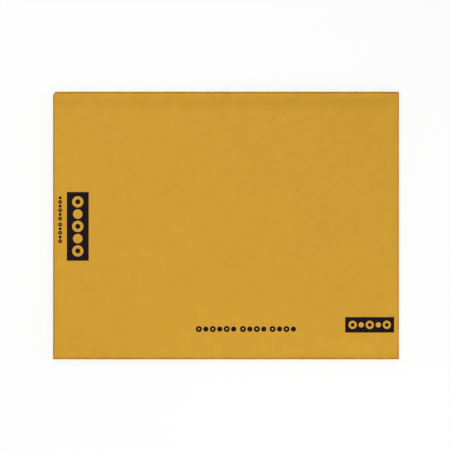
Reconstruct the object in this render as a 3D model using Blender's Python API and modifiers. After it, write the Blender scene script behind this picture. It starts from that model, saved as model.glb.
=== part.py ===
"""A padded mailing envelope of kraft paper lined with air-bubble film.

One sheet of paper is folded in half across its length, so the fold closes one short end of the
bag. The long sides are pressed flat and welded through the film. At the other short end the front
of the sheet runs on as a flap, which is folded round onto the back. The flap's inner face carries
a strip of adhesive under a strip of release paper.

The envelope lies on its back with its printed face up. X runs along the bag, from the closed end
(-X) to the flap's fold (+X), Y runs across it, and the origin is on the surface that it lies on,
under the middle of its outline. All sizes are in metres.
"""

import math

import bmesh
import bpy
from mathutils import Vector

ENVELOPE_LENGTH = 0.2794
ENVELOPE_WIDTH = 0.2159
PAPER_THICKNESS = 0.0002
# How far apart touching pieces are kept.
SEAT_GAP = 0.0003

# The lining: bubble film on the front and on the back, round an empty pocket.
BUBBLE_LAYER_HEIGHT = 0.0032
POCKET_HEIGHT = 0.0004
CRUSHED_FILM_THICKNESS = 0.0003
FILM_EDGE_INSET = 0.0005
POCKET_FLOOR = 0.012

# The long sides: a flat weld, and the shoulder that rises from it to the padded middle.
SEAM_WIDTH = 0.0035
SHOULDER_WIDTH = 0.010

# The mouth end: the flap, its fold, and the slope that runs down to it past the lining's edge.
FLAP_LENGTH = 0.040
FLAP_FOLD_DEPTH = 0.0020
MOUTH_SLOPE_LENGTH = 0.0105
LINING_SETBACK = 0.0005
BACK_EDGE_SETBACK = 0.0010

# The step in the back panel that makes room for the flap.
STEP_LENGTH = 0.006
STEP_CLEARANCE = 0.0010

# The closure on the flap's inner face.
ADHESIVE_WIDTH = 0.020
ADHESIVE_THICKNESS = 0.00015
ADHESIVE_END_INSET = 0.003
RELEASE_WIDTH = 0.026
RELEASE_THICKNESS = 0.0001
RELEASE_END_INSET = 0.0005
RELEASE_EDGE_INSET = 0.002

# The corner of the closed end that is knocked round.
WORN_CORNER_RADIUS = 0.003

# How finely the curved stretches are divided.
FOLD_STEPS = 12
SHOULDER_STEPS = 7
SLOPE_STEPS = 6
STEP_STEPS = 3
CORNER_STEPS = 4

# The printed blocks on the front: one along the closed end, one in the corner by the flap's fold.
END_BLOCK_LENGTH = 0.0178
END_BLOCK_WIDTH = 0.0555
END_BLOCK_INSET = 0.0113
END_BLOCK_MIDDLE_Y = -0.0007
CORNER_BLOCK_LENGTH = 0.0395
CORNER_BLOCK_WIDTH = 0.0126
CORNER_BLOCK_FOLD_INSET = 0.0040
CORNER_BLOCK_SIDE_INSET = 0.0216

HALF_LENGTH = ENVELOPE_LENGTH / 2
HALF_WIDTH = ENVELOPE_WIDTH / 2
HALF_PAPER = PAPER_THICKNESS / 2

# Half the distance between the middles of the front and the back sheet, in the padded middle and
# at the weld.
PAD_HALF_HEIGHT = POCKET_HEIGHT / 2 + BUBBLE_LAYER_HEIGHT + SEAT_GAP + HALF_PAPER
SEAM_HALF_HEIGHT = CRUSHED_FILM_THICKNESS / 2 + SEAT_GAP + HALF_PAPER
MIDDLE_HEIGHT = HALF_PAPER + PAD_HALF_HEIGHT
# From the middle of a paper sheet to the lining that lies under it.
LINING_OFFSET = HALF_PAPER + SEAT_GAP

ADHESIVE_BOTTOM = PAPER_THICKNESS + SEAT_GAP
RELEASE_BOTTOM = ADHESIVE_BOTTOM + ADHESIVE_THICKNESS + SEAT_GAP
# The back panel's lower face where it lies on the release paper.
BACK_OVER_FLAP = RELEASE_BOTTOM + RELEASE_THICKNESS + SEAT_GAP

FLAP_EDGE_X = HALF_LENGTH - FLAP_LENGTH
FLAP_FOLD_X = HALF_LENGTH - HALF_PAPER - FLAP_FOLD_DEPTH
STEP_END_X = FLAP_EDGE_X - STEP_CLEARANCE
STEP_START_X = STEP_END_X - STEP_LENGTH
SLOPE_START_X = FLAP_FOLD_X - MOUTH_SLOPE_LENGTH
LINING_END_X = SLOPE_START_X - LINING_SETBACK
BACK_EDGE_X = FLAP_FOLD_X - BACK_EDGE_SETBACK
LINING_START_X = -HALF_LENGTH + PAPER_THICKNESS + SEAT_GAP
# Left of this line the sheet runs on into the fold of the closed end.
CLOSED_END_X = -HALF_LENGTH + 2 * PAD_HALF_HEIGHT

END_BLOCK_X = -HALF_LENGTH + END_BLOCK_INSET
END_BLOCK_Y = END_BLOCK_MIDDLE_Y - END_BLOCK_WIDTH / 2
CORNER_BLOCK_X = HALF_LENGTH - CORNER_BLOCK_FOLD_INSET - CORNER_BLOCK_LENGTH
CORNER_BLOCK_Y = -HALF_WIDTH + CORNER_BLOCK_SIDE_INSET
# Each block from its left, lower corner to its right, upper corner.
PRINTED_BLOCKS = (
    ((END_BLOCK_X, END_BLOCK_Y), (END_BLOCK_X + END_BLOCK_LENGTH, END_BLOCK_Y + END_BLOCK_WIDTH)),
    (
        (CORNER_BLOCK_X, CORNER_BLOCK_Y),
        (CORNER_BLOCK_X + CORNER_BLOCK_LENGTH, CORNER_BLOCK_Y + CORNER_BLOCK_WIDTH),
    ),
)


def smooth_rise(distance, width):
    """0 before the start, 1 past the width, and an even S-curve between them."""
    share = min(max(distance / width, 0.0), 1.0)
    return share * share * (3.0 - 2.0 * share)


def fullness(x, y):
    """1 in the padded middle, falling to 0 at the welds and at the mouth."""
    across = smooth_rise(HALF_WIDTH - SEAM_WIDTH - abs(y), SHOULDER_WIDTH)
    return across * smooth_rise(FLAP_FOLD_X - x, MOUTH_SLOPE_LENGTH)


def half_height(x, y):
    """From the envelope's middle height up to the middle of the front sheet."""
    return SEAM_HALF_HEIGHT + (PAD_HALF_HEIGHT - SEAM_HALF_HEIGHT) * fullness(x, y)


def front_height(x, y):
    """The height of the middle of the front sheet."""
    return MIDDLE_HEIGHT + half_height(x, y)


def back_height(x, y):
    """The height of the middle of the back sheet, which steps up over the flap."""
    lowest = HALF_PAPER + BACK_OVER_FLAP * smooth_rise(x - STEP_START_X, STEP_LENGTH)
    seam = MIDDLE_HEIGHT - SEAM_HALF_HEIGHT
    return seam - (seam - lowest) * fullness(x, y)


def spread(start, end, steps):
    """Evenly spaced values from start up to end, without end itself."""
    return [start + (end - start) * step / steps for step in range(steps)]


def shoulder_lines():
    """The y of each line along the shoulders, from the foot on one side to the other's."""
    foot = HALF_WIDTH - SEAM_WIDTH
    side = spread(foot, foot - SHOULDER_WIDTH, SHOULDER_STEPS) + [foot - SHOULDER_WIDTH]
    return [-y for y in side] + side[::-1]


def lines_across():
    """The y of each line along the sheet: edges, shoulders and the sides of the print."""
    print_sides = [corner[1] for block in PRINTED_BLOCKS for corner in block]
    return sorted([-HALF_WIDTH, HALF_WIDTH] + shoulder_lines() + print_sides)


def fold_around_end(angle, y):
    """A point on the fold of the closed end: angle 0 is the front, half a turn is the back."""
    radius = half_height(CLOSED_END_X, y)
    x = -HALF_LENGTH + HALF_PAPER + radius - radius * math.sin(angle)
    return Vector((x, y, MIDDLE_HEIGHT + radius * math.cos(angle)))


def fold_around_flap(angle, y):
    """A point on the flap's fold: angle 0 is the flap, half a turn is the front."""
    top = front_height(FLAP_FOLD_X, y)
    radius = (top - HALF_PAPER) / 2
    x = FLAP_FOLD_X + FLAP_FOLD_DEPTH * math.sin(angle)
    return Vector((x, y, HALF_PAPER + radius * (1.0 - math.cos(angle))))


def front_rows():
    """The x of each row of points on the front, from the flap's fold to the closed end."""
    rows = spread(FLAP_FOLD_X, SLOPE_START_X, SLOPE_STEPS) + [SLOPE_START_X]
    rows += [corner[0] for block in PRINTED_BLOCKS for corner in block]
    return sorted((x for x in rows if x > CLOSED_END_X), reverse=True) + [CLOSED_END_X]


def back_rows():
    """The x of each row of points on the back, from the closed end to the mouth's edge."""
    rows = [CLOSED_END_X] + spread(STEP_START_X, STEP_END_X, STEP_STEPS) + [STEP_END_X]
    return rows + spread(SLOPE_START_X, BACK_EDGE_X, SLOPE_STEPS) + [BACK_EDGE_X]


def worn_corner(point):
    """Draws the sheet's edge in, where the corner at the closed end is knocked round."""
    reach = WORN_CORNER_RADIUS - (point.x + HALF_LENGTH)
    if reach <= 0 or point.y <= 0:
        return point
    drawn_in = WORN_CORNER_RADIUS - math.sqrt(max(WORN_CORNER_RADIUS**2 - reach**2, 0.0))
    share = smooth_rise(point.y - (HALF_WIDTH - SEAM_WIDTH - SHOULDER_WIDTH), SHOULDER_WIDTH)
    return Vector((point.x, point.y - drawn_in * share, point.z))


def closed_end_rows(y):
    """The points from the front, round the fold of the closed end, to the back."""
    arc = [fold_around_end(math.pi * step / FOLD_STEPS, y) for step in range(FOLD_STEPS + 1)]
    front = Vector((CLOSED_END_X, y, front_height(CLOSED_END_X, y)))
    back = Vector((CLOSED_END_X, y, back_height(CLOSED_END_X, y)))
    shares = [step / CORNER_STEPS for step in range(1, CORNER_STEPS)]
    points = [front.lerp(arc[0], share) for share in shares] + arc
    points += [arc[-1].lerp(back, share) for share in shares]
    return [worn_corner(point) for point in points]


def sheet_points(y):
    """The points of the paper along one line, from the flap's free edge to the mouth's edge."""
    points = [Vector((FLAP_EDGE_X, y, HALF_PAPER))]
    points += [fold_around_flap(angle, y) for angle in spread(0.0, math.pi, FOLD_STEPS)]
    points += [Vector((x, y, front_height(x, y))) for x in front_rows()]
    points += closed_end_rows(y)
    points += [Vector((x, y, back_height(x, y))) for x in back_rows()]
    return points


def in_printed_block(centre):
    """Whether a face of the front lies in one of the printed blocks."""
    if centre.z < MIDDLE_HEIGHT:
        return False
    return any(
        low[0] < centre.x < high[0] and low[1] < centre.y < high[1]
        for low, high in PRINTED_BLOCKS
    )


def make_material(name, colour, roughness):
    """A plain surface; the colour is in linear light."""
    material = bpy.data.materials.new(name)
    material.diffuse_color = (*colour, 1.0)
    material.use_nodes = True
    shader = material.node_tree.nodes["Principled BSDF"]
    shader.inputs["Base Color"].default_value = (*colour, 1.0)
    shader.inputs["Roughness"].default_value = roughness
    shader.inputs["Metallic"].default_value = 0.0
    return material


def add_object(name, mesh, collection, materials):
    """Puts a mesh in a collection as an object of its own."""
    piece = bpy.data.objects.new(name, mesh)
    for material in materials:
        mesh.materials.append(material)
    collection.objects.link(piece)
    return piece


def make_kraft_cover(collection):
    """The paper: one sheet folded into front, back and flap, and given its thickness."""
    columns = [sheet_points(y) for y in lines_across()]
    rows = len(columns[0]) - 1
    lines = len(columns) - 1
    shape = bmesh.new()
    bmesh.ops.create_grid(shape, x_segments=rows, y_segments=lines, size=1.0)
    for vertex in shape.verts:
        row = round((vertex.co.x + 1.0) / 2.0 * rows)
        line = round((vertex.co.y + 1.0) / 2.0 * lines)
        vertex.co = columns[line][row]
    bmesh.ops.reverse_faces(shape, faces=shape.faces)
    shape.normal_update()
    for face in shape.faces:
        face.material_index = int(in_printed_block(face.calc_center_median()))
    mesh = bpy.data.meshes.new("kraft_cover")
    shape.to_mesh(mesh)
    shape.free()
    paper = make_material("kraft_paper", (0.63, 0.33, 0.04), 0.62)
    ink = make_material("dark_ink", (0.015, 0.009, 0.009), 0.5)
    cover = add_object("kraft_cover", mesh, collection, (paper, ink))
    wall = cover.modifiers.new("paper thickness", "SOLIDIFY")
    wall.thickness = PAPER_THICKNESS
    wall.offset = 0.0
    wall.use_even_offset = True
    wall.material_offset = -1
    wall.material_offset_rim = -1
    mesh.shade_smooth()
    return cover


def box_mesh(name, size, middle):
    """A plain box of a size, about its middle."""
    shape = bmesh.new()
    bmesh.ops.create_cube(shape, size=1.0)
    bmesh.ops.scale(shape, vec=Vector(size), verts=shape.verts)
    bmesh.ops.translate(shape, vec=middle, verts=shape.verts)
    mesh = bpy.data.meshes.new(name)
    shape.to_mesh(mesh)
    shape.free()
    return mesh


def cut_across(shape, axis, places):
    """Cuts a block's faces along planes square to an axis."""
    normal = Vector([float(axis == index) for index in range(3)])
    for place in places:
        everything = shape.verts[:] + shape.edges[:] + shape.faces[:]
        bmesh.ops.bisect_plane(shape, geom=everything, plane_co=normal * place, plane_no=normal)


def lining_end_rounding(x, y):
    """How far the lining reaches from its middle height at the closed end, where it is round."""
    radius = half_height(CLOSED_END_X, y) - LINING_OFFSET
    short = max(radius - (x - LINING_START_X), 0.0)
    return max(math.sqrt(max(radius**2 - short**2, 0.0)), CRUSHED_FILM_THICKNESS / 2)


def lining_surface(x, y, side):
    """The height of the lining's upper surface (side 1) or lower surface (side -1)."""
    if side > 0:
        reach = front_height(x, y) - LINING_OFFSET - MIDDLE_HEIGHT
    else:
        reach = MIDDLE_HEIGHT - LINING_OFFSET - back_height(x, y)
    return MIDDLE_HEIGHT + side * min(reach, lining_end_rounding(x, y))


def make_pocket_cutter(collection):
    """The empty pocket: flat, open at the mouth, and closed short of the fold and the welds."""
    start = -HALF_LENGTH + POCKET_FLOOR
    length = HALF_LENGTH - start
    width = 2 * (HALF_WIDTH - SEAM_WIDTH - SHOULDER_WIDTH / 2)
    middle = Vector((start + length / 2, 0.0, MIDDLE_HEIGHT))
    mesh = box_mesh("pocket", (length, width, POCKET_HEIGHT), middle)
    cutter = add_object("pocket", mesh, collection, ())
    cutter.hide_render = True
    cutter.display_type = "WIRE"
    return cutter


def make_bubble_lining(collection, cutters):
    """The bubble film: a soft layer on the front and one on the back, joined at three edges."""
    length = LINING_END_X - LINING_START_X
    width = ENVELOPE_WIDTH - 2 * FILM_EDGE_INSET
    middle = Vector((LINING_START_X + length / 2, 0.0, 0.0))
    # The block's upper face is at a height of 1 and its lower face at -1, which name its sides.
    mesh = box_mesh("bubble_lining", (length, width, 2.0), middle)
    shape = bmesh.new()
    shape.from_mesh(mesh)
    arc = [math.pi / 2 * step / CORNER_STEPS for step in range(1, CORNER_STEPS + 1)]
    rows = [LINING_START_X + PAD_HALF_HEIGHT * (1.0 - math.cos(angle)) for angle in arc]
    rows += spread(STEP_START_X, STEP_END_X, STEP_STEPS) + [STEP_END_X]
    cut_across(shape, 0, rows)
    cut_across(shape, 1, shoulder_lines())
    for vertex in shape.verts:
        x, y, side = vertex.co
        vertex.co = worn_corner(Vector((x, y, lining_surface(x, y, side))))
    shape.to_mesh(mesh)
    shape.free()
    film = make_material("bubble_film", (0.75, 0.77, 0.78), 0.25)
    lining = add_object("bubble_lining", mesh, collection, (film,))
    cut = lining.modifiers.new("pocket", "BOOLEAN")
    cut.operation = "DIFFERENCE"
    cut.solver = "EXACT"
    cut.object = make_pocket_cutter(cutters)
    return lining


def make_strip(name, collection, material, near_x, size, bottom):
    """A flat strip along the flap, from its edge near the flap's free edge."""
    middle = Vector((near_x + size[0] / 2, 0.0, bottom + size[2] / 2))
    return add_object(name, box_mesh(name, size, middle), collection, (material,))


def make_closure(collection):
    """The adhesive strip on the flap, and the release paper that covers it."""
    release_x = FLAP_EDGE_X + RELEASE_EDGE_INSET
    adhesive_x = release_x + (RELEASE_WIDTH - ADHESIVE_WIDTH) / 2
    adhesive = make_material("adhesive", (0.70, 0.66, 0.52), 0.3)
    adhesive_length = ENVELOPE_WIDTH - 2 * ADHESIVE_END_INSET
    adhesive_size = (ADHESIVE_WIDTH, adhesive_length, ADHESIVE_THICKNESS)
    make_strip("adhesive_strip", collection, adhesive, adhesive_x, adhesive_size, ADHESIVE_BOTTOM)
    release = make_material("release_paper", (0.84, 0.84, 0.82), 0.35)
    release_length = ENVELOPE_WIDTH - 2 * RELEASE_END_INSET
    release_size = (RELEASE_WIDTH, release_length, RELEASE_THICKNESS)
    make_strip("release_liner", collection, release, release_x, release_size, RELEASE_BOTTOM)


def clear_scene():
    """Removes whatever the file holds, so the model is all that is left."""
    for thing in list(bpy.data.objects):
        bpy.data.objects.remove(thing)


def add_collection(name):
    """A new collection in the scene."""
    collection = bpy.data.collections.new(name)
    bpy.context.scene.collection.children.link(collection)
    return collection


def main():
    """Builds every piece of the envelope."""
    clear_scene()
    envelope = add_collection("padded_envelope")
    cutters = add_collection("cutters")
    make_kraft_cover(envelope)
    make_bubble_lining(envelope, cutters)
    make_closure(envelope)


main()
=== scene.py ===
"""A padded kraft mailer, seen from above: its paper, its bubble film, its closure and the stage.

The envelope lies on its back, with its printed front up. X runs from the folded closed end to the
flap's fold, Y runs across the bag, and sizes are in metres unless a name or a comment says otherwise.
"""

import math

import bmesh
import bpy
import numpy as np
from bpy.props import FloatProperty, FloatVectorProperty, IntProperty, PointerProperty
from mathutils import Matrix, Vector


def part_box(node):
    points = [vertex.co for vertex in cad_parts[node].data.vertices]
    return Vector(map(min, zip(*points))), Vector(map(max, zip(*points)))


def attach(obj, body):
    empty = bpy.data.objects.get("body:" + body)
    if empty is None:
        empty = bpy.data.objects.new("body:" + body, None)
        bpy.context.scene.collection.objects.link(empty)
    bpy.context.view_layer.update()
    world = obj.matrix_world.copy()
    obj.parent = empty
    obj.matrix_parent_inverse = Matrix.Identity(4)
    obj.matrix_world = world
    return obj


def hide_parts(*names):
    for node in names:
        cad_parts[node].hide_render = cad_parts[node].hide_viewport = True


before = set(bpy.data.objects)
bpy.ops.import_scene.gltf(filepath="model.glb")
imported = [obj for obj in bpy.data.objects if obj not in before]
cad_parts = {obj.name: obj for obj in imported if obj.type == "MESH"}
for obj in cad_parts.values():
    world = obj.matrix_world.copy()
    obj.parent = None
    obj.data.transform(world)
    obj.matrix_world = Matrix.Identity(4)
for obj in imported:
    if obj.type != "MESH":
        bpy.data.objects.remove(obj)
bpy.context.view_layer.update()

bl_info = {
    "name": "Padded Kraft Mailer",
    "version": (1, 0, 0),
    "blender": (4, 5, 0),
    "location": "View3D > Sidebar > Mailer",
    "description": "Builds a padded kraft mailer around its packed solids",
    "category": "Object",
}

MM = 0.001
LINING_LOW, LINING_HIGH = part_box("bubble_lining")

# The envelope's middle is over the origin, and it lies on Z = 0.
HALF_LENGTH, HALF_WIDTH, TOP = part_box("kraft_cover")[1]
MIDDLE_HEIGHT = TOP / 2

# The photograph is 450 pixels square, and the envelope's outline in it is 346.1 pixels long.
PHOTO_SIZE_PX = 450
OUTLINE_LENGTH_PX = 346.1
OUTLINE_MIDDLE_PX = (226.05, 225.5)
PIXEL = 2 * HALF_LENGTH / OUTLINE_LENGTH_PX
SENSOR_WIDTH_MM = 36.0


def linear(code):
    """The linear light of an sRGB colour that is written as a hex code."""
    shares = [int(code[start : start + 2], 16) / 255 for start in (1, 3, 5)]
    return tuple(v / 12.92 if v <= 0.04045 else ((v + 0.055) / 1.055) ** 2.4 for v in shares)


def size_property(name, description, millimetres):
    """A length that a user may set, given in millimetres."""
    return FloatProperty(
        name=name, description=description, default=millimetres * MM, min=0.0, precision=5, unit="LENGTH"
    )


def colour_property(name, description, code):
    """A colour that a user may set, given as an sRGB hex code."""
    return FloatVectorProperty(
        name=name, description=description, default=linear(code), min=0.0, max=1.0, size=3, subtype="COLOR"
    )


def power_property(name, description, watts):
    """The power of a lamp, in watts, that a user may set."""
    return FloatProperty(name=name, description=description, default=watts, min=0.0, unit="POWER")


class MailerPaper(bpy.types.PropertyGroup):
    """The sizes of the paper cover."""

    thickness: size_property("Thickness", "Thickness of the kraft paper", 0.2)
    weld_width: size_property("Weld", "Width of the flat weld along each long side", 3.0)
    shoulder_width: size_property("Shoulder", "Width of the slope from weld to pad", 11.5)
    weld_half_height: size_property("Weld height", "From the weld's middle to each sheet", 0.55)
    flap_length: size_property("Flap", "How far the flap reaches onto the back", 40.0)
    flap_fold_depth: size_property("Flap fold", "How far the flap's fold bulges", 2.0)
    mouth_slope: size_property("Mouth slope", "Length of the slope down to the fold", 10.5)
    back_edge_setback: size_property("Back edge", "Back panel's edge, short of the fold", 1.0)
    step_length: size_property("Step", "Length of the back's step over the flap", 6.0)
    step_clearance: size_property("Step clearance", "From the step to the flap's edge", 1.0)
    step_height: size_property("Step height", "Height of the back's step", 1.35)
    corner_along: size_property("Worn corner along", "Its length along the bag", 2.5)
    corner_across: size_property("Worn corner across", "Its length across the bag", 5.0)
    bubble_mark: size_property("Bubble mark", "How far bubbles press up the paper", 0.045)
    cockle: size_property("Cockle", "Height of the paper's long, low waves", 0.14)
    pucker: size_property("Pucker", "Depth of the small pleats by the welds", 0.14)
    weld_wave: size_property("Weld wave", "How far the welds wander up and down", 0.3)
    weld_curl: size_property("Weld curl", "How far the welds' rims curl up", 0.8)
    # Width of the darker, browner outline: partly wear, partly painted shade where the edges turn away
    # from the light.
    edge_wear_and_shade_width: size_property("Rubbed edge", "Width of the rubbed, darker edge", 2.0)
    cell: size_property("Cell", "Size of the paper mesh's cells", 2.0)
    seed: IntProperty(name="Seed", description="Which random small waves", default=4, min=0)


class MailerPrint(bpy.types.PropertyGroup):
    """The sizes and places of the printed blocks and rows of marks."""

    end_length: size_property("End block", "Length of the block by the closed end", 17.8)
    end_width: size_property("End block width", "Its width across the bag", 55.5)
    end_inset: size_property("End block inset", "From the closed end to the block", 11.3)
    corner_length: size_property("Corner block", "Length of the block by the flap", 39.8)
    corner_width: size_property("Corner block width", "Its width across the bag", 12.6)
    corner_inset: size_property("Corner block inset", "From the flap's fold to it", 4.0)
    corner_side_inset: size_property("Corner block side", "From the long side to it", 21.6)
    row_side_inset: size_property("Long row side", "From the long side to the row", 24.5)
    side_row_inset: size_property("Side row", "From the closed end to the row", 6.0)
    ink_edge: size_property("Ink edge", "How softly the ink ends on the paper", 0.12)


class MailerFilm(bpy.types.PropertyGroup):
    """The sizes of the bubble film and the closure."""

    pocket_height: size_property("Pocket", "Height of the empty pocket", 0.4)
    web_thickness: size_property("Film", "Thickness of the flat film", 0.12)
    weld_gap: size_property("Weld gap", "Half the gap between the films in the weld", 0.02)
    bubble_diameter: size_property("Bubble", "Diameter of one air bubble", 9.5)
    bubble_pitch: size_property("Pitch", "Distance between neighbouring bubbles", 10.8)
    bubble_height: size_property("Bubble height", "Height of a whole bubble", 3.2)
    lowest_bubble: size_property("Lowest bubble", "Height below which one is flat", 0.5)
    bubble_gap: size_property("Bubble gap", "Space between a bubble and the paper", 0.08)
    bead_ripple: size_property("Ripple", "Height of the adhesive's ripples", 0.05)
    liner_cockle: size_property("Liner cockle", "Height of the liner's waves", 0.04)
    cell: size_property("Cell", "Size of the film mesh's cells", 3.0)
    sides: IntProperty(name="Sides", description="Sides of one bubble", default=14, min=6)
    rings: IntProperty(name="Rings", description="Rings of one bubble", default=4, min=2)


class MailerColours(bpy.types.PropertyGroup):
    """The colours of the paper, the ink, the film, the closure and the floor."""

    kraft: colour_property("Kraft", "The paper's own golden brown", "#D39F33")
    kraft_cloud: colour_property("Cloud", "The paper where its fibres are denser", "#C99630")
    # The outline's colour: partly rubbed wear, partly painted shade of the edges that turn away from the
    # light.
    kraft_edge_wear_and_shade: colour_property("Edge", "The paper where its edges are rubbed", "#B57A00")
    fleck: colour_property("Fleck", "Single darker fibres in the paper", "#8E6420")
    ink: colour_property("Ink", "The brown-black printing ink", "#10040D")
    film: colour_property("Film", "The milky clear bubble film", "#EEF1F2")
    film_crinkle: colour_property("Crinkle", "The film where it is crinkled", "#D4D8DA")
    adhesive: colour_property("Adhesive", "The pale adhesive", "#E6DDC0")
    adhesive_deep: colour_property("Deep", "The adhesive where it lies thick", "#D7CBA6")
    release: colour_property("Release", "The white release paper", "#F1F1EE")
    release_cloud: colour_property("Dense", "The release paper where it is denser", "#E3E3DF")
    floor: colour_property("Floor", "The white floor", "#FDFDFC")


class MailerStage(bpy.types.PropertyGroup):
    """The camera's distance and the strength of the lights."""

    camera_height: size_property("Camera height", "From the envelope to the camera", 2200.0)
    sky: FloatProperty(name="Sky", description="Strength of the even light", default=0.602, min=0.0)
    key_power: power_property("Key lamp", "Soft lamp by the near long side", 0.6)
    fill_power: power_property("Fill lamp", "Soft lamp over the closed end", 0.59)
    flap_power: power_property("Flap lamp", "Low, far lamp beyond the flap's fold", 3.6)
    near_power: power_property("Near lamp", "Low, far lamp beyond the near long side", 0.8)
    end_power: power_property("End lamp", "Low, far lamp beyond the closed end", 1.5)
    top_power: power_property("Top lamp", "Soft lamp above the envelope", 0.15)


class MailerSettings(bpy.types.PropertyGroup):
    """All that a user may set."""

    paper: PointerProperty(type=MailerPaper)
    print_layout: PointerProperty(type=MailerPrint)
    film: PointerProperty(type=MailerFilm)
    colours: PointerProperty(type=MailerColours)
    stage: PointerProperty(type=MailerStage)


def smooth_rise(distance, width):
    """0 before the start, 1 past the width, and an even S-curve between them."""
    share = np.clip(distance / width, 0.0, 1.0)
    return share * share * (3.0 - 2.0 * share)


class Form:
    """The envelope's form, worked out at any x and y from its sizes."""

    # The long, low waves of the paper: how many are added up, and their shortest and longest.
    WAVES = 7
    WAVE_LENGTHS = (0.045, 0.120)
    # The pleats along a weld are the product of two waves of these lengths.
    PLEATS = (0.0083, 0.0127)
    # A weld wanders by the sum of two waves of these lengths.
    WELD_WAVES = (0.058, 0.093)
    # How far from each end the small waves begin.
    END_FADE = 0.012

    def __init__(self, paper, film):
        self.paper = paper
        self.film = film
        self.half_paper = paper.thickness / 2
        self.pad_half_height = MIDDLE_HEIGHT - self.half_paper
        self.pad_edge = HALF_WIDTH - paper.weld_width - paper.shoulder_width
        self.fold_x = HALF_LENGTH - self.half_paper - paper.flap_fold_depth
        self.flap_edge_x = HALF_LENGTH - paper.flap_length
        self.step_start_x = self.flap_edge_x - paper.step_clearance - paper.step_length
        self.back_edge_x = self.fold_x - paper.back_edge_setback
        self.closed_x = -HALF_LENGTH + 2 * self.pad_half_height
        random = np.random.default_rng(paper.seed)
        turns = random.uniform(0.0, 2 * math.pi, self.WAVES)
        numbers = 2 * math.pi / random.uniform(*self.WAVE_LENGTHS, self.WAVES)
        starts = random.uniform(0.0, 2 * math.pi, self.WAVES)
        self.waves = list(zip(numbers * np.cos(turns), numbers * np.sin(turns), starts))

    def across(self, y):
        """1 in the padded middle, falling to 0 at the welds."""
        foot = HALF_WIDTH - self.paper.weld_width
        return smooth_rise(foot - np.abs(y), self.paper.shoulder_width)

    def fullness(self, x, y):
        """1 in the padded middle, falling to 0 at the welds and at the mouth."""
        return self.across(y) * smooth_rise(self.fold_x - x, self.paper.mouth_slope)

    def inland(self, x):
        """1 away from the two ends, falling to 0 where the folds begin."""
        near_closed = smooth_rise(x - self.closed_x, self.END_FADE)
        return near_closed * smooth_rise(self.fold_x - x, self.END_FADE)

    def weld_wave(self, x, y):
        """How far the weld wanders up or down, and curls up at its rim, with all its layers."""
        first, second = self.WELD_WAVES
        wave = np.sin(2 * math.pi * x / first + np.sign(y)) + np.sin(2 * math.pi * x / second)
        wander = self.paper.weld_wave / 2 * wave * (1.0 - self.across(y))
        out = np.clip((np.abs(y) - HALF_WIDTH) / self.paper.weld_width + 1.0, 0.0, 1.0)
        return (wander + self.paper.weld_curl * out * out * (2.0 - out)) * self.inland(x)

    def cockle(self, x, y, turn):
        """The long, low waves of the loose paper, about -1 to 1; turn tells the sheets apart."""
        waves = [np.sin(along * x + aside * y + start + turn) for along, aside, start in self.waves]
        return sum(waves) / math.sqrt(2 * self.WAVES)

    def pleats(self, x, y, turn):
        """The small pleats on the shoulders, from 0 to 1."""
        across = self.across(y)
        # The two long sides differ, and a pleat is deepest halfway up its shoulder.
        side = turn + 1.7 * np.sign(y)
        first, second = self.PLEATS
        wave = np.sin(2 * math.pi * x / first + side) * np.sin(2 * math.pi * x / second + 2 * side)
        return 4.0 * across * (1.0 - across) * np.abs(wave)

    def lattice(self):
        """The spacing of the bubbles along and across the bag."""
        return self.film.bubble_pitch, self.film.bubble_pitch * math.sqrt(3.0)

    def bubble_shift(self, side):
        """Where the front film's bubbles (side 1) or the back film's (side -1) begin."""
        return (0.0, 0.0) if side > 0 else (self.film.bubble_pitch / 3, self.film.bubble_pitch / 4)

    def bubble_bump(self, x, y, side):
        """1 over the middle of each bubble, falling to 0 at its rim."""
        along, aside = self.lattice()
        shift_x, shift_y = self.bubble_shift(side)
        nearest = None
        for half in (0.0, 0.5):
            near_x = (x - shift_x) / along - half
            near_y = (y - shift_y) / aside - half
            off_x = (near_x - np.rint(near_x)) * along
            off_y = (near_y - np.rint(near_y)) * aside
            distance = np.hypot(off_x, off_y)
            nearest = distance if nearest is None else np.minimum(nearest, distance)
        return 1.0 - smooth_rise(nearest, self.film.bubble_diameter / 2)

    def small_waves(self, x, y, side):
        """How far the paper stands out from its plain form, away from the envelope's middle."""
        bump = self.paper.bubble_mark * self.bubble_bump(x, y, side)
        cockle = self.paper.cockle * self.cockle(x, y, side)
        # The back is pressed flat by the surface that it lies on, so its waves only go inwards.
        if side < 0:
            cockle = -np.abs(cockle)
            bump = bump - self.paper.bubble_mark
        loose = self.fullness(x, y) * self.inland(x)
        pleats = self.paper.pucker * self.pleats(x, y, side) * self.inland(x)
        return (bump + cockle) * loose - pleats

    def plain_reach(self, share):
        """How far a plain sheet is from the envelope's middle, at a share of the full padding."""
        low = self.paper.weld_half_height
        return low + (self.pad_half_height - low) * share

    def front(self, x, y):
        """The height of the middle of the front sheet."""
        plain = MIDDLE_HEIGHT + self.plain_reach(self.fullness(x, y))
        return plain + self.small_waves(x, y, 1) + self.weld_wave(x, y)

    def back(self, x, y):
        """The height of the middle of the back sheet, which steps up over the flap."""
        step = smooth_rise(x - self.step_start_x, self.paper.step_length)
        lowest = self.half_paper + self.paper.step_height * step
        weld = MIDDLE_HEIGHT - self.paper.weld_half_height
        plain = weld - (weld - lowest) * self.fullness(x, y)
        return plain - self.small_waves(x, y, -1) + self.weld_wave(x, y)

    def worn_corner(self, points):
        """Draws the edges in, where the corner at the closed end is knocked round."""
        x, y = points[..., 0], points[..., 1]
        reach = np.clip(1.0 - (x + HALF_LENGTH) / self.paper.corner_along, 0.0, 1.0)
        drawn_in = self.paper.corner_across * (1.0 - np.sqrt(1.0 - reach**2))
        share = smooth_rise(y - self.pad_edge, self.paper.shoulder_width)
        moved = points.copy()
        moved[..., 1] = y - drawn_in * share
        return moved


def current():
    """The settings, and the form that they give."""
    mailer = bpy.context.scene.mailer
    return mailer, Form(mailer.paper, mailer.film)


def steps_between(start, end, cell):
    """Evenly spaced values from start to end, about one cell apart, with both ends."""
    return np.linspace(start, end, max(int(round(abs(end - start) / cell)), 1) + 1)


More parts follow.
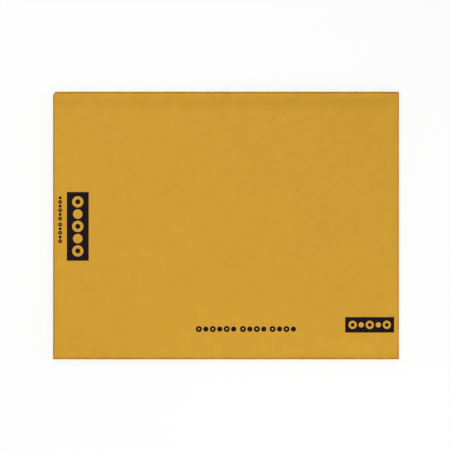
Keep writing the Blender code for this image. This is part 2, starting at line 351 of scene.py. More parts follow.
def points_of(x, y, z):
    """One array of points from arrays, or plain numbers, for each coordinate."""
    return np.stack(np.broadcast_arrays(x, y, z), axis=-1)


def sheet_mesh(name, points, turned_over):
    """A grid of faces through an array of points, ordered line by line across the sheet."""
    lines, rows = points.shape[:2]
    shape = bmesh.new()
    bmesh.ops.create_grid(shape, x_segments=rows - 1, y_segments=lines - 1, size=1.0)
    if turned_over:
        bmesh.ops.reverse_faces(shape, faces=shape.faces)
    mesh = bpy.data.meshes.new(name)
    shape.to_mesh(mesh)
    shape.free()
    flat = np.empty(len(mesh.vertices) * 3)
    mesh.vertices.foreach_get("co", flat)
    flat = flat.reshape(-1, 3)
    row = np.rint((flat[:, 0] + 1.0) / 2.0 * (rows - 1)).astype(int)
    line = np.rint((flat[:, 1] + 1.0) / 2.0 * (lines - 1)).astype(int)
    mesh.vertices.foreach_set("co", points[line, row].ravel())
    mesh.update()
    return mesh


def plain_copy(piece, name):
    """The mesh that a piece's modifiers give."""
    depsgraph = bpy.context.evaluated_depsgraph_get()
    mesh = bpy.data.meshes.new_from_object(piece.evaluated_get(depsgraph))
    mesh.name = name
    return mesh


def link_piece(name, data):
    """Puts a mesh, a lamp or a camera in the scene as an object of its own."""
    piece = bpy.data.objects.new(name, data)
    bpy.context.scene.collection.objects.link(piece)
    return piece


def thicken(piece, thickness):
    """Gives an open sheet its thickness, half to each side, and leaves a plain mesh."""
    wall = piece.modifiers.new("thickness", "SOLIDIFY")
    wall.thickness = thickness
    wall.offset = 0.0
    wall.use_even_offset = True
    # Only the outer face keeps a sheet's second material.
    wall.material_offset = -1
    wall.material_offset_rim = -1
    mesh = plain_copy(piece, piece.name)
    piece.modifiers.clear()
    old = piece.data
    piece.data = mesh
    bpy.data.meshes.remove(old)
    piece.data.shade_smooth()
    return piece


def stand_in(piece, node):
    """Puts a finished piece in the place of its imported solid."""
    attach(piece, "root")
    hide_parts(node)


def add(tree, kind, inputs=(), output=0, **settings):
    """Adds a node with its settings, fills its inputs with links or values, gives an output."""
    node = tree.nodes.new(kind)
    for name, value in settings.items():
        setattr(node, name, value)
    for key, value in dict(inputs).items():
        if isinstance(value, bpy.types.NodeSocket):
            tree.links.new(value, node.inputs[key])
        else:
            node.inputs[key].default_value = value
    return None if output is None else node.outputs[output]


# Blender's names for the nodes that are used most. Inputs 2 and 3 of a Mix node are its two numbers,
# inputs 6 and 7 its two colours, and output 2 is its colour.
MATH = "ShaderNodeMath"
MIX = "ShaderNodeMix"
NOISE = "ShaderNodeTexNoise"
RANGE = "ShaderNodeMapRange"
PRINCIPLED = "ShaderNodeBsdfPrincipled"
MATERIAL_OUTPUT = "ShaderNodeOutputMaterial"


def new_material(name):
    """A material with an empty tree, and that tree."""
    material = bpy.data.materials.new(name)
    material.use_nodes = True
    material.node_tree.nodes.clear()
    return material, material.node_tree


def opaque(colour):
    """A colour with full alpha."""
    return (*colour, 1.0)


# The generic print: rows of rings and dots in turn. The marks of a row give the distance between
# them, the ring's radius, its hole's and the dot's, in millimetres. A block's give their number first.
END_MARKS = (5, 9.9, 4.6, 2.1, 3.9)
CORNER_MARKS = (5, 6.9, 3.4, 1.6, 2.2)
ROW_MARKS = (5.6, 2.5, 0.85, 2.15)
SIDE_MARKS = (3.35, 1.65, 0.5, 1.3)
# The long row's groups and the side row's groups: where each starts, and its number of marks.
ROW_GROUPS = ((-24.4, 6), (11.1, 4), (35.0, 4))
SIDE_GROUPS = ((-14.3, 5), (3.9, 6))
# How far the end block's middle lies from the bag's, in millimetres.
END_MIDDLE_Y = -0.7


def printed_row_group():
    """A node group: the ink of one row of rings and dots, from the place along and across it."""
    tree = bpy.data.node_groups.new("printed_row", "ShaderNodeTree")
    for name in ("Along", "Across", "Start", "Pitch", "Count", "Ring", "Hole", "Dot", "Softness"):
        tree.interface.new_socket(name, in_out="INPUT", socket_type="NodeSocketFloat")
    tree.interface.new_socket("Ink", in_out="OUTPUT", socket_type="NodeSocketFloat")
    given = add(tree, "NodeGroupInput").node.outputs
    run = add(tree, MATH, {0: given["Along"], 1: given["Start"]}, operation="SUBTRACT")
    place = add(tree, MATH, {0: run, 1: given["Pitch"]}, operation="DIVIDE")
    mark = add(tree, MATH, {0: place}, operation="FLOOR")
    share = add(tree, MATH, {0: place}, operation="FRACT")
    aside = add(tree, MATH, {0: share, 1: 0.5}, operation="SUBTRACT")
    aside = add(tree, MATH, {0: aside, 1: given["Pitch"]}, operation="MULTIPLY")
    vector = add(tree, "ShaderNodeCombineXYZ", {0: aside, 1: given["Across"]})
    distance = add(tree, "ShaderNodeVectorMath", {0: vector}, "Value", operation="LENGTH")
    is_dot = add(tree, MATH, {0: mark, 1: 2.0}, operation="FLOORED_MODULO")
    outer = add(tree, MIX, {0: is_dot, 2: given["Ring"], 3: given["Dot"]})
    # A dot has no hole: a radius below 0 is never reached.
    hole = add(tree, MIX, {0: is_dot, 2: given["Hole"], 3: -1.0})
    discs = []
    for radius in (outer, hole):
        inner = add(tree, MATH, {0: radius, 1: given["Softness"]}, operation="SUBTRACT")
        limits = {"Value": distance, "From Min": inner, "From Max": radius, "To Min": 1.0, "To Max": 0.0}
        discs.append(add(tree, RANGE, limits))
    ink = add(tree, MATH, {0: discs[0], 1: discs[1]}, operation="SUBTRACT")
    started = add(tree, MATH, {0: place, 1: 0.0}, operation="GREATER_THAN")
    going = add(tree, MATH, {0: place, 1: given["Count"]}, operation="LESS_THAN")
    for inside in (started, going):
        ink = add(tree, MATH, {0: ink, 1: inside}, operation="MULTIPLY")
    add(tree, "NodeGroupOutput", {"Ink": ink}, output=None)
    return tree


def row_of_marks(tree, group, along, across, start, marks, count, softness):
    """Adds one row of rings and dots; its start and marks are in millimetres."""
    pitch, ring, hole, dot = marks
    sizes = {"Pitch": pitch, "Ring": ring, "Hole": hole, "Dot": dot}
    inputs = {name: size * MM for name, size in sizes.items()}
    # A row's cells are one pitch long, and a mark is in the middle of its cell.
    inputs["Start"] = (start + ring - pitch / 2) * MM
    inputs |= {"Along": along, "Across": across, "Count": float(count), "Softness": softness}
    return add(tree, "ShaderNodeGroup", inputs, "Ink", node_tree=group)


def printed_block(tree, along, across, length, width, softness):
    """Adds the ink of one plain block, from the place along and across it from its middle."""
    edges = []
    for place, size in ((along, length), (across, width)):
        out = add(tree, MATH, {0: place}, operation="ABSOLUTE")
        limits = {"Value": out, "From Min": size / 2 - softness, "From Max": size / 2}
        edges.append(add(tree, RANGE, limits | {"To Min": 1.0, "To Max": 0.0}))
    return add(tree, MATH, {0: edges[0], 1: edges[1]}, operation="MULTIPLY")


def printed_ink(tree, x, y, layout):
    """Adds the whole print of the front: 1 where there is ink, 0 on bare paper."""
    group = printed_row_group()
    soft = layout.ink_edge
    end_x = -HALF_LENGTH + layout.end_inset + layout.end_length / 2
    corner_x = HALF_LENGTH - layout.corner_inset - layout.corner_length / 2
    corner_y = -HALF_WIDTH + layout.corner_side_inset + layout.corner_width / 2
    row_y = -HALF_WIDTH + layout.row_side_inset
    side_x = -HALF_LENGTH + layout.side_row_inset
    middles = ((x, end_x), (y, END_MIDDLE_Y * MM), (x, corner_x), (y, corner_y), (y, row_y), (x, side_x))
    offsets = [add(tree, MATH, {0: place, 1: middle}, operation="SUBTRACT") for place, middle in middles]
    from_end_x, from_end_y, from_corner_x, from_corner_y, from_row, from_side = offsets
    blocks = (
        (from_end_y, from_end_x, layout.end_width, layout.end_length, END_MARKS),
        (from_corner_x, from_corner_y, layout.corner_length, layout.corner_width, CORNER_MARKS),
    )
    inks = []
    for along, across, length, width, (count, *marks) in blocks:
        block = printed_block(tree, along, across, length, width, soft)
        start = -((count - 1) * marks[0] / 2 + marks[1])
        bare = row_of_marks(tree, group, along, across, start, marks, count, soft)
        inks.append(add(tree, MATH, {0: block, 1: bare}, operation="SUBTRACT"))
    rows = ((x, from_row, ROW_MARKS, ROW_GROUPS), (y, from_side, SIDE_MARKS, SIDE_GROUPS))
    for along, across, marks, groups in rows:
        for start, count in groups:
            inks.append(row_of_marks(tree, group, along, across, start, marks, count, soft))
    whole = 0.0
    for ink in inks:
        whole = add(tree, MATH, {0: whole, 1: ink}, operation="MAXIMUM")
    return whole


# How wide the darker band on the two folds is, as a share of the band on the long sides; the band is
# partly wear and partly painted shade.
FOLD_WEAR_AND_SHADE = 0.85


def worn_and_shaded_edges(tree, x, y, clouds, wear_and_shade_width):
    """Adds the darker outline, partly wear and partly painted shade where the edges turn from the light: 1
    at the outermost edge, 0 away from its edges.
    """
    edges = []
    for along, half, width in ((x, HALF_LENGTH, FOLD_WEAR_AND_SHADE * wear_and_shade_width), (y, HALF_WIDTH, wear_and_shade_width)):
        out = add(tree, MATH, {0: along}, operation="ABSOLUTE")
        limits = {"Value": out, "From Min": half - width, "From Max": half - width / 3}
        edges.append(add(tree, RANGE, limits))
    wear_and_shade = add(tree, MATH, {0: edges[0], 1: edges[1]}, operation="MAXIMUM")
    # The wear and painted shade come in patches, and are never quite gone.
    limits = {"Value": clouds, "From Min": 0.38, "From Max": 0.6, "To Min": 0.6, "To Max": 1.0}
    patches = add(tree, RANGE, limits)
    return add(tree, MATH, {0: wear_and_shade, 1: patches}, operation="MULTIPLY")


def kraft_paper(name, mailer, printed):
    """Machine-glazed natural kraft paper.

    Long-fibred brown paper whose face was ironed on a hot cylinder: dull and golden, softly cloudy
    at about 9 mm, streaked along the bag, with single dark fibres, and browner edges that are partly worn
    and partly painted shade.
    """
    material, tree = new_material(name)
    colours = mailer.colours
    place = add(tree, "ShaderNodeTexCoord", output="Object")
    split = add(tree, "ShaderNodeSeparateXYZ", {0: place}).node.outputs
    # Clouds of denser fibre are about 9 mm across, and the whole web changes a little over 50 mm.
    clouds = add(tree, NOISE, {"Vector": place, "Scale": 1 / (9 * MM), "Detail": 3.0})
    broad = add(tree, NOISE, {"Vector": place, "Scale": 1 / (50 * MM), "Detail": 1.0})
    # Fibres are 2 to 4 mm long; their streaks are drawn 1 mm wide, so that they show at all.
    drawn_out = add(tree, "ShaderNodeMapping", {"Vector": place, "Scale": (0.25, 1.0, 1.0)})
    fibres = add(tree, NOISE, {"Vector": drawn_out, "Scale": 1 / MM, "Detail": 2.0})
    # Denser paper is darker. All three patterns have a share in it.
    mottle = clouds
    for noise, weight in ((fibres, 0.1), (broad, 0.4)):
        mottle = add(tree, MATH, {0: noise, 1: weight, 2: mottle}, operation="MULTIPLY_ADD")
    limits = {"Value": mottle, "From Min": 0.53, "From Max": 0.97, "To Min": 0.0, "To Max": 0.5}
    density = add(tree, RANGE, limits)
    # Single dark fibres: the rare peaks of a finer noise.
    fine = add(tree, NOISE, {"Vector": drawn_out, "Scale": 1 / (0.6 * MM)})
    limits = {"Value": fine, "From Min": 0.70, "From Max": 0.78, "To Min": 0.0, "To Max": 0.35}
    flecks = add(tree, RANGE, limits)
    # The outline is browner over about 2 mm: partly wear, partly painted shade where the edges turn from
    # the light.
    wear_and_shade = worn_and_shaded_edges(tree, split["X"], split["Y"], clouds, mailer.paper.edge_wear_and_shade_width)
    limits = {"Value": clouds, "From Min": 0.3, "From Max": 0.7, "To Min": 0.58, "To Max": 0.7}
    roughness = add(tree, RANGE, limits)
    tints = [(density, colours.kraft_cloud), (flecks, colours.fleck), (wear_and_shade, colours.kraft_edge_wear_and_shade)]
    if printed:
        ink = printed_ink(tree, split["X"], split["Y"], mailer.print_layout)
        # The ink lies a little thin where the fibres stand up.
        limits = {"Value": fibres, "From Min": 0.3, "From Max": 0.75, "To Min": 1.0, "To Max": 0.995}
        cover = add(tree, RANGE, limits)
        ink = add(tree, MATH, {0: ink, 1: cover}, operation="MULTIPLY")
        tints.append((ink, colours.ink))
        roughness = add(tree, MIX, {0: ink, 2: roughness, 3: 0.5})
    colour = opaque(colours.kraft)
    for share, tint in tints:
        shades = {0: share, 6: colour, 7: opaque(tint)}
        colour = add(tree, MIX, shades, 2, data_type="RGBA")
    # The face is dimpled by its fibres to a few hundredths of a millimetre.
    dimples = add(tree, MATH, {0: fibres, 1: clouds}, operation="ADD")
    bump = add(tree, "ShaderNodeBump", {"Height": dimples, "Strength": 0.15, "Distance": 0.03 * MM})
    look = {"Base Color": colour, "Roughness": roughness, "Normal": bump}
    look |= {"IOR": 1.5, "Specular IOR Level": 0.08}
    shader = add(tree, PRINCIPLED, look)
    add(tree, MATERIAL_OUTPUT, {"Surface": shader}, output=None)
    return material


def two_toned(name, tones, spot, detail, roughness, bump, look, lines=None):
    """A material that drifts from one tone to another, and from glossier to duller, spot by spot.

    tones are its two colours, spot the size of its spots in millimetres, detail how far they are
    broken up, roughness its least and most, bump its strength and its depth in millimetres, and look
    the shader's other inputs. Given lines, a stretch and a width in millimetres, the bump follows them.
    """
    material, tree = new_material(name)
    place = add(tree, "ShaderNodeTexCoord", output="Object")
    noise = add(tree, NOISE, {"Vector": place, "Scale": 1 / (spot * MM), "Detail": detail})
    least, most = roughness
    limits = {"Value": noise, "From Min": 0.3, "From Max": 0.7, "To Min": least, "To Max": most}
    dullness = add(tree, RANGE, limits)
    shades = {0: noise, 6: opaque(tones[0]), 7: opaque(tones[1])}
    colour = add(tree, MIX, shades, 2, data_type="RGBA")
    if lines:
        stretch, width = lines
        drawn_out = add(tree, "ShaderNodeMapping", {"Vector": place, "Scale": stretch})
        noise = add(tree, NOISE, {"Vector": drawn_out, "Scale": 1 / (width * MM)})
    strength, depth = bump
    relief = add(tree, "ShaderNodeBump", {"Height": noise, "Strength": strength, "Distance": depth * MM})
    look = {"Base Color": colour, "Roughness": dullness, "Normal": relief} | look
    shader = add(tree, PRINCIPLED, look)
    add(tree, MATERIAL_OUTPUT, {"Surface": shader}, output=None)
    return material


def bubble_film(name, colours):
    """Clear low-density polyethylene film, vacuum-formed into bubbles.

    Slightly milky and glossy: the bubbles catch soft highlights, and the web is finely crinkled.
    """
    # The web's crinkles are about 3 mm across.
    return two_toned(
        name,
        tones=(colours.film, colours.film_crinkle),
        spot=3.0,
        detail=2.0,
        roughness=(0.12, 0.26),
        bump=(0.3, 0.05),
        look={"IOR": 1.51, "Transmission Weight": 0.35},
    )


def tacky_adhesive(name, colours):
    """Pale hot-melt adhesive, laid down through a comb.

    Creamy and wet-looking, in fine lines that run along the strip, with clearer and duller spots.
    """
    # The spots are about 4 mm across. The comb's lines are 1.2 mm apart, and run along Y.
    return two_toned(
        name,
        tones=(colours.adhesive, colours.adhesive_deep),
        spot=4.0,
        detail=2.0,
        roughness=(0.16, 0.34),
        bump=(0.5, 0.05),
        look={"IOR": 1.48},
        lines=((1.0, 0.06, 1.0), 1.2),
    )


def release_paper(name, colours):
    """White glassine release paper with a silicone face.

    Dense, smooth and slightly shiny, with faint clouds, as glazed paper has.
    """
    # The clouds are about 4 mm across.
    return two_toned(
        name,
        tones=(colours.release, colours.release_cloud),
        spot=4.0,
        detail=3.0,
        roughness=(0.28, 0.42),
        bump=(0.2, 0.03),
        look={"IOR": 1.5},
    )


def seen_directly(tree):
    """Adds the test for what the camera, a mirror or clear film shows of the surroundings."""
    rays = add(tree, "ShaderNodeLightPath").node.outputs
    seen = rays["Is Camera Ray"]
    for name in ("Is Glossy Ray", "Is Transmission Ray"):
        seen = add(tree, MATH, {0: seen, 1: rays[name]}, operation="MAXIMUM")
    return seen


WHITE = (1.0, 1.0, 1.0, 1.0)
# How much of the floor's look is plain white; the rest is lit, and shows the shadow.
FLOOR_WHITENESS = 0.8


def white_floor(name, colours):
    """Matt white board.

    Plain white to the camera, and it keeps a soft shadow where the envelope stands on it.
    """
    material, tree = new_material(name)
    board = {"Base Color": opaque(colours.floor), "Roughness": 0.9, "Specular IOR Level": 0.0}
    shader = add(tree, PRINCIPLED, board)
    white = add(tree, "ShaderNodeEmission", {"Color": WHITE, "Strength": 1.0})
    share = add(tree, MATH, {0: seen_directly(tree), 1: FLOOR_WHITENESS}, operation="MULTIPLY")
    mix = add(tree, "ShaderNodeMixShader", {0: share, 1: shader, 2: white})
    add(tree, MATERIAL_OUTPUT, {"Surface": mix}, output=None)
    return material


# How many steps bend the paper round the flap's fold and round the closed end, how many lead in to
# the closed end's bend, and how many bend the film.
FLAP_FOLD_STEPS = 14
END_FOLD_STEPS = 20
RUN_STEPS = 7
WEB_FOLD_STEPS = 6


def cover_points(form, cell):
    """The paper's points, from the flap's edge to the mouth's, and its first and last printed rows."""
    y = steps_between(-HALF_WIDTH, HALF_WIDTH, cell)[:, None]
    flap_x = steps_between(form.flap_edge_x, form.fold_x, cell)[None, :-1]
    turn = np.linspace(0.0, math.pi, FLAP_FOLD_STEPS + 1)[None, :-1]
    front_x = steps_between(form.fold_x, form.closed_x, cell)[None, :]
    back_x = steps_between(form.closed_x, form.back_edge_x, cell)[None, :]
    flap = points_of(flap_x, y, form.half_paper)
    fold_top = form.front(form.fold_x, y)
    radius = (fold_top - form.half_paper) / 2
    fold_x = form.fold_x + form.paper.flap_fold_depth * np.sin(turn)
    fold = points_of(fold_x, y, form.half_paper + radius * (1.0 - np.cos(turn)))
    front = points_of(front_x, y, form.front(front_x, y))
    back = points_of(back_x, y, form.back(back_x, y))
    # The fold of the closed end: a straight run in from each sheet, and half a turn between them.
    bend = np.linspace(0.0, math.pi, END_FOLD_STEPS + 1)[None, :]
    end_radius = form.plain_reach(form.across(y))
    end_x = -HALF_LENGTH + form.half_paper + end_radius * (1.0 - np.sin(bend))
    arc = points_of(end_x, y, MIDDLE_HEIGHT + end_radius * np.cos(bend))
    shares = np.linspace(0.0, 1.0, RUN_STEPS + 1)[None, 1:-1, None]
    run_in = front[:, -1:] * (1.0 - shares) + arc[:, :1] * shares
    run_out = arc[:, -1:] * (1.0 - shares) + back[:, :1] * shares
    points = np.concatenate((flap, fold, front, run_in, arc, run_out, back), axis=1)
    # The print is on the front and on the upper half of both folds.
    first = flap.shape[1] + FLAP_FOLD_STEPS // 2
    last = flap.shape[1] + FLAP_FOLD_STEPS + front.shape[1] + run_in.shape[1] + END_FOLD_STEPS // 2
    return form.worn_corner(points), first, last


def build_kraft_cover():
    """Makes the paper: one sheet folded into front, back and flap."""
    mailer, form = current()
    points, first, last = cover_points(form, mailer.paper.cell)
    mesh = sheet_mesh("kraft_cover_paper", points, turned_over=True)
    piece = link_piece("kraft_cover_paper", mesh)
    mesh.materials.append(kraft_paper("machine_glazed_kraft", mailer, printed=False))
    mesh.materials.append(kraft_paper("printed_kraft", mailer, printed=True))
    rows = points.shape[1] - 1
    # The grid's faces come line by line, in the order of their rows.
    row = np.arange(len(mesh.polygons)) % rows
    printed = ((row >= first) & (row < last)).astype(np.int32)
    mesh.polygons.foreach_set("material_index", printed)
    thicken(piece, mailer.paper.thickness)
    stand_in(piece, "kraft_cover")


def web_points(form, cell):
    """The flat film's points, from the front's mouth end round the fold to the back's."""
    film = form.film
    y_edge = LINING_HIGH.y
    y = steps_between(-y_edge, y_edge, cell)[:, None]
    across = form.across(y)
    half_gap = film.weld_gap + film.web_thickness / 2 + film.pocket_height / 2 * across
    # Whole bubbles stand between this fold and the paper's fold in the padded middle only.
    fold_x = LINING_LOW.x + half_gap + (film.bubble_height - film.bubble_gap) * across
    share = np.linspace(0.0, 1.0, steps_between(LINING_LOW.x, LINING_HIGH.x, cell).size)[None, :]
    front_x = LINING_HIGH.x + (fold_x - LINING_HIGH.x) * share
    turn = np.linspace(0.0, math.pi, WEB_FOLD_STEPS + 1)[None, 1:-1]
    arc_x = fold_x - half_gap * np.sin(turn)
    front = points_of(front_x, y, MIDDLE_HEIGHT + half_gap + form.weld_wave(front_x, y))
    arc = points_of(arc_x, y, MIDDLE_HEIGHT + half_gap * np.cos(turn))
    back_x = front_x[:, ::-1]
    back = points_of(back_x, y, MIDDLE_HEIGHT - half_gap + form.weld_wave(back_x, y))
    return form.worn_corner(np.concatenate((front, arc, back), axis=1))


def bubble_profile(share, power):
    """The height of a bubble, of 1, at a share of its radius."""
    return np.sqrt(np.clip(1.0 - share**power, 0.0, 1.0))


# How blunt the bubbles are: 2 is a half ball, and more has a flatter top and steeper sides.
BLUNTNESS = 3.2
# Where the curve of a bubble stops, as a share of a quarter turn: what is left is its flat top.
TOP_STOP = 0.93
# How much smaller than asked a bubble may be, and which random sizes they have.
UNEVENNESS = 0.04
BUBBLE_SEED = 7
# How wide a bubble on the film's fold is left, as a share of a free one.
FOLD_BUBBLE_SQUASH = 0.62
# The room for a bubble is measured at its middle, and at these shares of its radius all round.
ROOM_SHARES = (0.5, 0.8, 0.93)
ROOM_TURNS = 8


def upright_bubbles(form, side):
    """The middle, size and turn of each bubble on one face, as low as the paper over it asks."""
    film = form.film
    radius = film.bubble_diameter / 2
    along, aside = form.lattice()
    shift_x, shift_y = form.bubble_shift(side)
    base = film.weld_gap + film.web_thickness + film.pocket_height / 2
    samples = [(0.0, 0.0)]
    for share in ROOM_SHARES:
        samples += [(share, 2 * math.pi * step / ROOM_TURNS) for step in range(ROOM_TURNS)]
    columns = int(HALF_LENGTH / along) + 1
    lines = int(HALF_WIDTH / aside) + 1
    found = []
    for half in (0.0, 0.5):
        places_x = (np.arange(-columns, columns + 1) + half) * along + shift_x
        places_y = (np.arange(-lines, lines + 1) + half) * aside + shift_y
        x, y = (grid.ravel() for grid in np.meshgrid(places_x, places_y))
        near_fold = LINING_LOW.x + film.bubble_height + radius
        inside = (x > near_fold) & (x < LINING_HIGH.x - radius)
        inside &= np.abs(y) < HALF_WIDTH - form.paper.weld_width - radius / 2
        x, y = x[inside], y[inside]
        height = np.full(x.shape, film.bubble_height)
        for share, turn in samples:
            at_x, at_y = x + share * radius * math.cos(turn), y + share * radius * math.sin(turn)
            paper = form.front(at_x, at_y) if side > 0 else form.back(at_x, at_y)
            room = side * (paper - MIDDLE_HEIGHT) - form.half_paper - film.bubble_gap - base
            height = np.minimum(height, room / bubble_profile(share, BLUNTNESS))
        keep = height > film.lowest_bubble
        x, y, height = x[keep], y[keep], height[keep]
        # A bubble's foot is sunk a little into the flat film, so that no gap shows.
        middle = points_of(x, y, MIDDLE_HEIGHT + side * (base - film.web_thickness / 4))
        turn = points_of(np.full(x.shape, 0.0 if side > 0 else math.pi), 0.0, 0.0)
        found.append((middle, points_of(radius, radius, height), turn))
    return found


def fold_bubbles(form):
    """The middle, size and turn of the bubbles that are squashed flat on the film's fold."""
    film = form.film
    radius = film.bubble_diameter / 2
    count = int(2 * form.pad_edge / film.bubble_pitch)
    y = (np.arange(count) - (count - 1) / 2) * film.bubble_pitch
    height = film.bubble_height - 2 * film.bubble_gap
    fold_x = LINING_LOW.x + film.bubble_height
    middle = points_of(fold_x, y, MIDDLE_HEIGHT)
    size = points_of(np.full(y.shape, radius * FOLD_BUBBLE_SQUASH), radius, height)
    turn = points_of(np.full(y.shape, 0.0), -math.pi / 2, 0.0)
    return [(middle, size, turn)]


def bubble_tree(material):
    """Geometry Nodes that set a blunt bubble on each point, by its own size and turn."""
    tree = bpy.data.node_groups.new("bubbles", "GeometryNodeTree")
    sockets = (("Points", "NodeSocketGeometry"), ("Sides", "NodeSocketInt"), ("Rings", "NodeSocketInt"))
    sockets += (("Bluntness", "NodeSocketFloat"), ("Unevenness", "NodeSocketFloat"))
    for name, kind in sockets:
        tree.interface.new_socket(name, in_out="INPUT", socket_type=kind)
    tree.interface.new_socket("Bubbles", in_out="OUTPUT", socket_type="NodeSocketGeometry")
    given = add(tree, "NodeGroupInput").node.outputs
    # A bubble is a drum whose rings are drawn in, by the blunt curve, towards its top.
    drum = {"Vertices": given["Sides"], "Side Segments": given["Rings"], "Radius": 1.0, "Depth": 1.0}
    drum = add(tree, "GeometryNodeMeshCylinder", drum, fill_type="NGON")
    place = add(tree, "GeometryNodeInputPosition")
    height = add(tree, "ShaderNodeSeparateXYZ", {0: place}, "Z")
    height = add(tree, MATH, {0: height, 1: 0.5}, operation="ADD")
    # The rings stand closer together near the top, where the bubble bends most.
    angle = add(tree, MATH, {0: height, 1: math.pi / 2 * TOP_STOP}, operation="MULTIPLY")
    level = add(tree, MATH, {0: angle}, operation="SINE")
    square = add(tree, MATH, {0: level, 1: 2.0}, operation="POWER")
    rest = add(tree, MATH, {0: 1.0, 1: square}, operation="SUBTRACT")
    root = add(tree, MATH, {0: 1.0, 1: given["Bluntness"]}, operation="DIVIDE")
    reach = add(tree, MATH, {0: rest, 1: root}, operation="POWER")
    factor = add(tree, "ShaderNodeCombineXYZ", {0: reach, 1: reach, 2: 0.0})
    flat = add(tree, "ShaderNodeVectorMath", {0: place, 1: factor}, operation="MULTIPLY")
    lift = add(tree, "ShaderNodeCombineXYZ", {0: 0.0, 1: 0.0, 2: level})
    where = add(tree, "ShaderNodeVectorMath", {0: flat, 1: lift}, operation="ADD")
    bubble = add(tree, "GeometryNodeSetPosition", {"Geometry": drum, "Position": where})
    kind = "GeometryNodeInputNamedAttribute"
    names = ("bubble_size", "bubble_turn")
    size, turn = (add(tree, kind, {"Name": name}, data_type="FLOAT_VECTOR") for name in names)
    turn = add(tree, "FunctionNodeEulerToRotation", {0: turn})
    least = add(tree, MATH, {0: 1.0, 1: given["Unevenness"]}, operation="SUBTRACT")
    # Inputs 2 and 3 are the least and the most.
    limits = {2: least, 3: 1.0, "Seed": BUBBLE_SEED}
    uneven = add(tree, "FunctionNodeRandomValue", limits, 1, data_type="FLOAT")
    size = add(tree, "ShaderNodeVectorMath", {0: size, "Scale": uneven}, operation="SCALE")
    copies = {"Points": given["Points"], "Instance": bubble, "Rotation": turn, "Scale": size}
    copies = add(tree, "GeometryNodeInstanceOnPoints", copies)
    real = add(tree, "GeometryNodeRealizeInstances", {0: copies})
    smooth = add(tree, "GeometryNodeSetShadeSmooth", {0: real})
    coated = add(tree, "GeometryNodeSetMaterial", {"Geometry": smooth, "Material": material})
    add(tree, "NodeGroupOutput", {"Bubbles": coated}, output=None)
    return tree


def bubbles_mesh(form, material):
    """The mesh of all bubbles, made by Geometry Nodes on a cloud of points."""
    found = upright_bubbles(form, 1) + upright_bubbles(form, -1) + fold_bubbles(form)
    middles, sizes, turns = (np.concatenate(parts) for parts in zip(*found))
    cloud = bpy.data.meshes.new("bubble_points")
    cloud.vertices.add(len(middles))
    cloud.vertices.foreach_set("co", middles.ravel())
    for name, values in (("bubble_size", sizes), ("bubble_turn", turns)):
        attribute = cloud.attributes.new(name, "FLOAT_VECTOR", "POINT")
        attribute.data.foreach_set("vector", values.ravel())
    piece = link_piece("bubble_points", cloud)
    modifier = piece.modifiers.new("bubbles", "NODES")
    modifier.node_group = bubble_tree(material)
    inputs = {"Sides": form.film.sides, "Rings": form.film.rings}
    inputs |= {"Bluntness": BLUNTNESS, "Unevenness": UNEVENNESS}
    for socket in modifier.node_group.interface.items_tree:
        if socket.name in inputs:
            modifier[socket.identifier] = inputs[socket.name]
    mesh = plain_copy(piece, "bubbles")
    bpy.data.objects.remove(piece)
    bpy.data.meshes.remove(cloud)
    return mesh


def build_bubble_lining():
    """Makes the film: a flat web folded round the pocket, and bubbles between it and the paper."""
    mailer, form = current()
    material = bubble_film("milky_polyethylene_film", mailer.colours)
    web = sheet_mesh("bubble_lining_film", web_points(form, mailer.film.cell), turned_over=True)
    web.materials.append(material)
    piece = thicken(link_piece("bubble_lining_film", web), mailer.film.web_thickness)
    bubbles = bubbles_mesh(form, material)
    both = bmesh.new()
    both.from_mesh(piece.data)
    both.from_mesh(bubbles)
    for face in both.faces:
        face.material_index = 0
        face.smooth = True
    both.to_mesh(piece.data)
    both.free()
    bpy.data.meshes.remove(bubbles)
    stand_in(piece, "bubble_lining")


def flat_strip(name, node, waves, wave_height, material, cell):
    """Makes a thin strip that fills its solid's box; waves is its form, about -1 to 1."""
    low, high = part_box(node)
    x = steps_between(low.x, high.x, cell)[None, :]
    y = steps_between(low.y, high.y, cell)[:, None]
    thickness = high.z - low.z - wave_height
    height = (low.z + high.z) / 2 + wave_height / 2 * waves(x, y)
    mesh = sheet_mesh(name, points_of(x, y, height), turned_over=False)
    mesh.materials.append(material)
    stand_in(thicken(link_piece(name, mesh), thickness), node)


# The length of the adhesive's ripples, and the cells of the two strips' meshes.
RIPPLE_LENGTH = 0.0042
BEAD_CELL = 0.7 * MM
LINER_CELL = 1.5 * MM
# The liner's waves are a third as long as the kraft paper's.
LINER_WAVES = 3.0


def build_adhesive_strip():
    """Makes the adhesive: a thin strip with a rippled face."""
    mailer, form = current()
    material = tacky_adhesive("hot_melt_adhesive", mailer.colours)

    def ripples(x, y):
        return np.sin(2 * math.pi * x / RIPPLE_LENGTH) * (0.7 + 0.3 * form.cockle(x, y, 0.5))

    height = mailer.film.bead_ripple
    flat_strip("adhesive_bead", "adhesive_strip", ripples, height, material, BEAD_CELL)


def build_release_liner():
    """Makes the release paper: a thin strip that is slightly cockled."""
    mailer, form = current()
    material = release_paper("glassine_release_paper", mailer.colours)

    def waves(x, y):
        return form.cockle(LINER_WAVES * x, LINER_WAVES * y, 1.0)

    height = mailer.film.liner_cockle
    flat_strip("release_strip", "release_liner", waves, height, material, LINER_CELL)


def soft_lamp(name, place, size, power):
    """A square, soft lamp that faces the middle of the envelope."""
    lamp = bpy.data.lights.new(name, "AREA")
    lamp.shape = "SQUARE"
    lamp.size = size
    lamp.energy = power
    piece = link_piece(name, lamp)
    piece.location = place
    away = Vector(place) - Vector((0.0, 0.0, MIDDLE_HEIGHT))
    piece.rotation_euler = away.to_track_quat("Z", "Y").to_euler()


